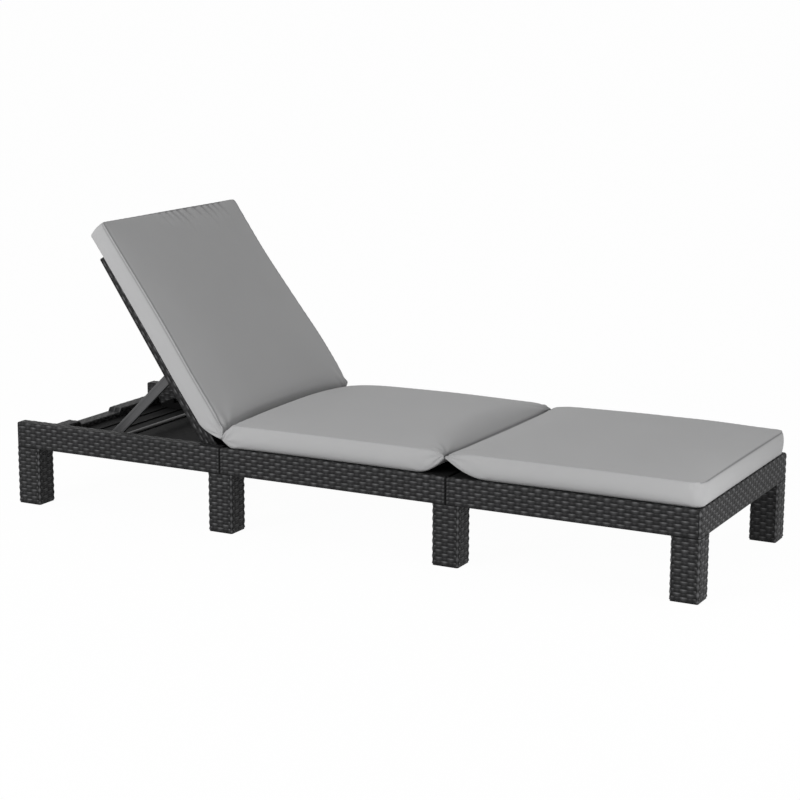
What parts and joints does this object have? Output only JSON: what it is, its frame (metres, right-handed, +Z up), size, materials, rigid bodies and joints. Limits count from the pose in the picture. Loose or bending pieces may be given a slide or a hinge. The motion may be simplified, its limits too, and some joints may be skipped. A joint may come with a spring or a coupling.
{
  "type": "sun lounger",
  "caption": "Sun lounger: moulded wicker-look frame on square legs, folding backrest held by a notched prop, and a padded cushion that folds with it.",
  "frame": {"origin": "on the ground under the middle of the frame, at rest", "axes": "+X towards the foot end, +Y to the left of someone lying on it, +Z up"},
  "size_m": [1.955, 0.653, 0.7863],
  "materials": {
    "woven_resin": "dark grey moulded weave, satin",
    "smooth_resin": "plain mid grey, semi-gloss",
    "fixing_resin": "plain dark grey moulding",
    "cushion_cloth": "light grey woven cloth, matt"
  },
  "bodies": {
    "root": {"foot_deck": "woven_resin", "seat_deck": "woven_resin", "rear_tray": "woven_resin", "leg_foot_left": "woven_resin", "leg_foot_right": "woven_resin", "leg_knee_left": "woven_resin", "leg_knee_right": "woven_resin", "leg_hip_left": "woven_resin", "leg_hip_right": "woven_resin", "leg_rear_left": "woven_resin", "leg_rear_right": "woven_resin", "joint_bolt_knee_left": "fixing_resin", "joint_bolt_knee_right": "fixing_resin", "joint_nut_knee_left": "fixing_resin", "joint_nut_knee_right": "fixing_resin", "joint_bolt_hip_left": "fixing_resin", "joint_bolt_hip_right": "fixing_resin", "joint_nut_hip_left": "fixing_resin", "joint_nut_hip_right": "fixing_resin", "hinge_pin_left": "fixing_resin", "hinge_pin_right": "fixing_resin", "rack_left": "woven_resin", "rack_right": "woven_resin", "cushion_seat": "cushion_cloth", "cushion_foot": "cushion_cloth"},
    "backrest": {"backrest_panel": "woven_resin", "prop_pin_left": "fixing_resin", "prop_pin_right": "fixing_resin"},
    "prop": {"prop_arm_left": "smooth_resin", "prop_arm_right": "smooth_resin", "prop_rod": "smooth_resin"},
    "back_cushion": {"cushion_back": "cushion_cloth"}
  },
  "joints": [
    {"name": "backrest_recline", "type": "hinge", "parent": "root", "child": "backrest", "pos_m": [-0.37243, 0, 0.203], "axis": [0, 1, 0], "range_deg": [-55.5, 0]},
    {"name": "prop_swing", "type": "hinge", "parent": "backrest", "child": "prop", "pos_m": [-0.50769, 0, 0.3998], "axis": [0, 1, 0], "range_deg": [0, 99.91]},
    {"name": "cushion_fold", "type": "hinge", "parent": "root", "child": "back_cushion", "pos_m": [-0.34255, 0, 0.2598], "axis": [0, 1, 0], "range_deg": [-55.5, 0]}
  ],
  "couplings": [
    {"joint": "prop_swing", "follows": "backrest_recline", "ratio": -1.8001},
    {"joint": "cushion_fold", "follows": "backrest_recline", "ratio": 1}
  ]
}
